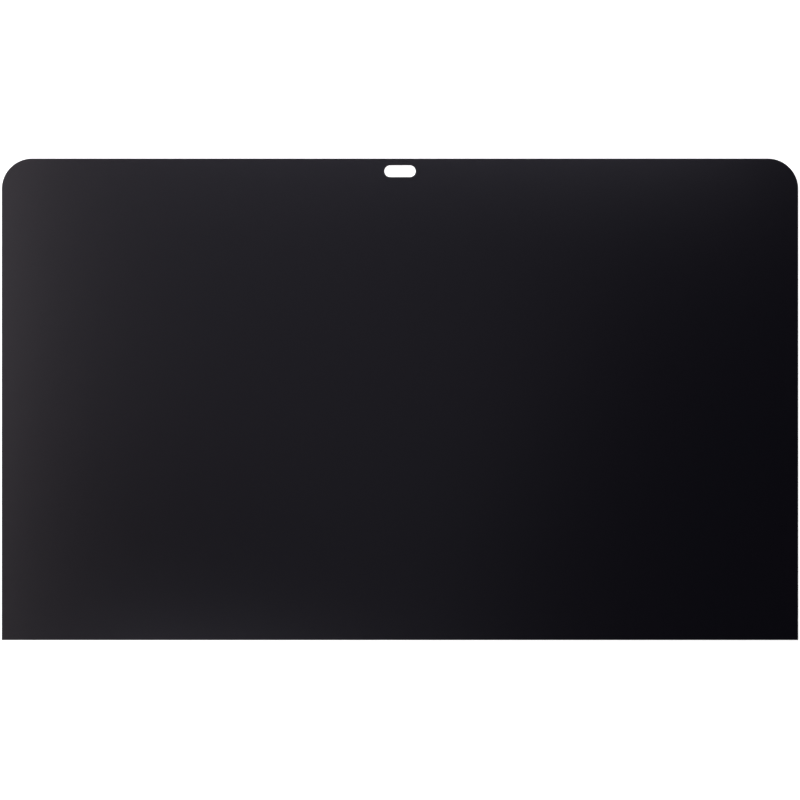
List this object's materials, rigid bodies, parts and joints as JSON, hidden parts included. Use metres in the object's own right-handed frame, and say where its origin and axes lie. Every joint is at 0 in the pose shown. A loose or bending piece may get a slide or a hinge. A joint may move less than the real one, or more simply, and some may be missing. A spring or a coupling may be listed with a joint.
{
  "type": "monitor screen protector",
  "caption": "Flat dark filter sheet that covers a desktop display's front glass, with round upper corners, square lower corners and a round-ended slot that leaves the camera clear.",
  "frame": {"origin": "middle of the sheet's width and height, on the back face that it lies on", "axes": "+X along the sheet's width to the viewer's right, +Y up the screen towards the camera slot, +Z out of the front face"},
  "size_m": [0.526, 0.318, 0.0005],
  "materials": {
    "filter_film": "near-black polyester filter film, satin anti-glare front with a faint violet tint"
  },
  "bodies": {
    "root": {"filter_sheet": "filter_film"}
  },
  "joints": []
}
